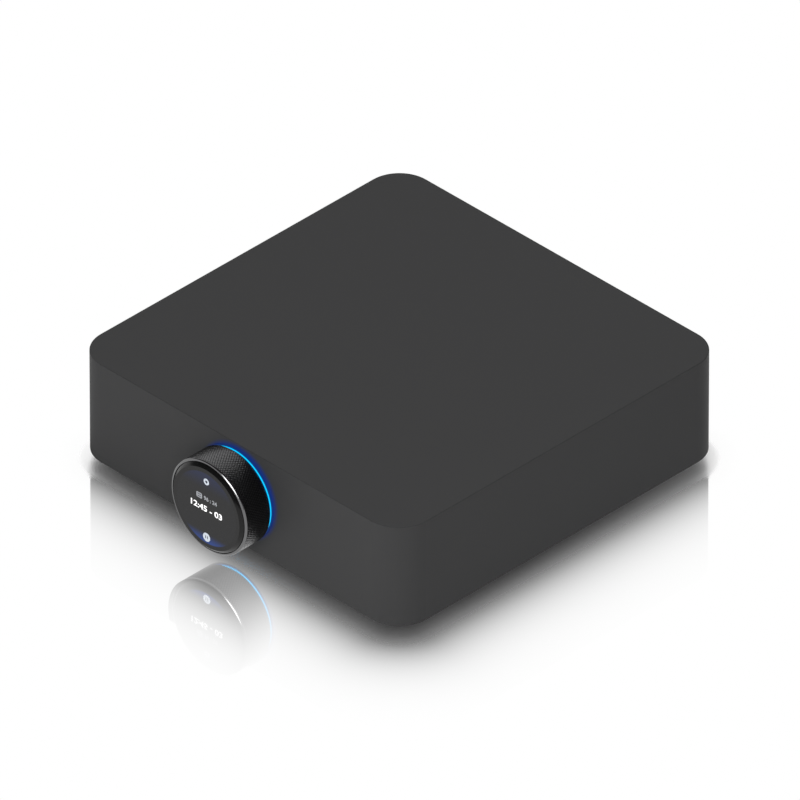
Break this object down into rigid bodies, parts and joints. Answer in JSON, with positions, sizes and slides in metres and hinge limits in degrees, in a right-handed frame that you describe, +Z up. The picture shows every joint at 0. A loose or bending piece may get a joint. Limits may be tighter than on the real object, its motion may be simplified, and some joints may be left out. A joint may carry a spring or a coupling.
{
  "type": "streaming amplifier",
  "caption": "Flat square amplifier case on a hidden round plinth, with a knurled dial that turns round a fixed display, a ring of light and rear sockets.",
  "frame": {"origin": "the middle of the pad's underside, on the floor under the middle of the case", "axes": "+X to the right seen from the front, -Y to the front with the dial, +Z up"},
  "size_m": [0.215, 0.25, 0.062],
  "materials": {
    "shell_paint": "fine satin powder coat, charcoal",
    "plate_paint": "satin black",
    "plinth_plastic": "moulded, matt",
    "pad_rubber": "matt",
    "black_screws": "black oxide",
    "panel_plastic": "fine moulded grain",
    "plain_steel": "zinc plated",
    "clear_sheet": "satin film",
    "black_aluminium": "black anodised with a fine diamond knurl",
    "magnet": "bonded magnet",
    "bearing_steel": "ground",
    "cage_plastic": "natural nylon",
    "plain_aluminium": "as machined",
    "black_plastic": "moulded",
    "display_glass": "polished, dark printed border",
    "display_cell": "lit display",
    "circuit_board": "solder mask",
    "flat_cable": "amber film",
    "light_guide": "frosted, lit from behind",
    "lead_jacket": "smooth",
    "tinned_steel": "tinned",
    "chip_black": "moulded",
    "ferrite": "sintered",
    "can_sleeve": "shrink sleeve",
    "copper_winding": "enamelled copper",
    "socket_plastic": "moulded",
    "socket_metal": "nickel plated",
    "shutter_plastic": "moulded",
    "gold_plate": "gold plated",
    "insert_plastic": "moulded, one colour a socket",
    "post_metal": "black anodised, knurled"
  },
  "bodies": {
    "root": {"antenna_leads": "lead_jacket", "antennas": "circuit_board", "bearing_inner_race": "bearing_steel", "bearing_spacer": "plain_aluminium", "board_chips": "chip_black", "board_screws": "plain_steel", "bottom_plate": "plate_paint", "capacitors": "can_sleeve", "case_screws": "black_screws", "dial_hub": "plain_aluminium", "dial_screws": "plain_steel", "display_board": "circuit_board", "display_cable": "flat_cable", "display_cup": "black_plastic", "display_glass": "display_glass", "display_panel": "display_cell", "ethernet_jack": "socket_metal", "foot_pad": "pad_rubber", "hdmi_socket": "socket_metal", "heat_sink": "plain_aluminium", "inlet_pins": "socket_metal", "insulating_sheet": "clear_sheet", "light_board": "circuit_board", "light_cable": "flat_cable", "light_ring": "light_guide", "main_board": "circuit_board", "mains_choke": "copper_winding", "optical_socket": "socket_plastic", "output_coils": "ferrite", "plinth": "plinth_plastic", "post_studs": "gold_plate", "power_inlet": "socket_plastic", "power_leads": "lead_jacket", "power_transformer": "ferrite", "psu_board": "circuit_board", "rca_block": "socket_plastic", "rca_inserts": "insert_plastic", "rca_sleeves": "gold_plate", "rear_panel": "panel_plastic", "rear_panel_screws": "black_screws", "shield_cans": "tinned_steel", "standoffs": "plain_steel", "terminal_block": "socket_plastic", "top_shell": "shell_paint"},
    "dial": {"dial_ring": "black_aluminium", "encoder_magnet": "magnet", "dial_clip": "plain_steel", "bearing_outer_race": "bearing_steel"},
    "ball_cage": {"bearing_balls": "bearing_steel", "bearing_cage": "cage_plastic"},
    "shutter": {"optical_shutter": "shutter_plastic"},
    "button": {"reset_button": "black_plastic"},
    "washer_1": {"post_washer_1": "gold_plate"},
    "cap_1": {"post_cap_1": "post_metal"},
    "washer_2": {"post_washer_2": "gold_plate"},
    "cap_2": {"post_cap_2": "post_metal"},
    "washer_3": {"post_washer_3": "gold_plate"},
    "cap_3": {"post_cap_3": "post_metal"},
    "washer_4": {"post_washer_4": "gold_plate"},
    "cap_4": {"post_cap_4": "post_metal"}
  },
  "joints": [
    {"name": "dial_turn", "type": "hinge", "parent": "root", "child": "dial", "pos_m": [0, -0.116, 0.034], "axis": [0, 1, 0], "continuous": true},
    {"name": "cage_turn", "type": "hinge", "parent": "root", "child": "ball_cage", "pos_m": [0, -0.116, 0.034], "axis": [0, 1, 0], "continuous": true},
    {"name": "shutter_swing", "type": "hinge", "parent": "root", "child": "shutter", "pos_m": [0.00764, 0.1066, 0.0231], "axis": [-1, 0, 0], "range_deg": [0, 80], "stiffness_Nm_per_rad": 0.0002, "springref_deg": -17.19},
    {"name": "reset_press", "type": "slide", "parent": "root", "child": "button", "axis": [0, -1, 0], "range_m": [0, 0.0005], "stiffness_N_per_m": 300, "springref_m": -0.0005},
    {"name": "washer_1_slide", "type": "slide", "parent": "root", "child": "washer_1", "axis": [0, 1, 0], "range_m": [0, 0.003]},
    {"name": "cap_1_turn", "type": "hinge", "parent": "washer_1", "child": "cap_1", "pos_m": [0.05607, 0.11685, 0.03915], "axis": [0, 1, 0], "range_deg": [0, 1080]},
    {"name": "washer_2_slide", "type": "slide", "parent": "root", "child": "washer_2", "axis": [0, 1, 0], "range_m": [0, 0.003]},
    {"name": "cap_2_turn", "type": "hinge", "parent": "washer_2", "child": "cap_2", "pos_m": [0.07512, 0.11685, 0.03915], "axis": [0, 1, 0], "range_deg": [0, 1080]},
    {"name": "washer_3_slide", "type": "slide", "parent": "root", "child": "washer_3", "axis": [0, 1, 0], "range_m": [0, 0.003]},
    {"name": "cap_3_turn", "type": "hinge", "parent": "washer_3", "child": "cap_3", "pos_m": [0.05607, 0.11685, 0.0201], "axis": [0, 1, 0], "range_deg": [0, 1080]},
    {"name": "washer_4_slide", "type": "slide", "parent": "root", "child": "washer_4", "axis": [0, 1, 0], "range_m": [0, 0.003]},
    {"name": "cap_4_turn", "type": "hinge", "parent": "washer_4", "child": "cap_4", "pos_m": [0.07512, 0.11685, 0.0201], "axis": [0, 1, 0], "range_deg": [0, 1080]}
  ],
  "couplings": [
    {"joint": "cage_turn", "follows": "dial_turn", "ratio": 0.53797},
    {"joint": "cap_1_turn", "follows": "washer_1_slide", "rad_per_m": 6283.2},
    {"joint": "cap_2_turn", "follows": "washer_2_slide", "rad_per_m": 6283.2},
    {"joint": "cap_3_turn", "follows": "washer_3_slide", "rad_per_m": 6283.2},
    {"joint": "cap_4_turn", "follows": "washer_4_slide", "rad_per_m": 6283.2}
  ]
}
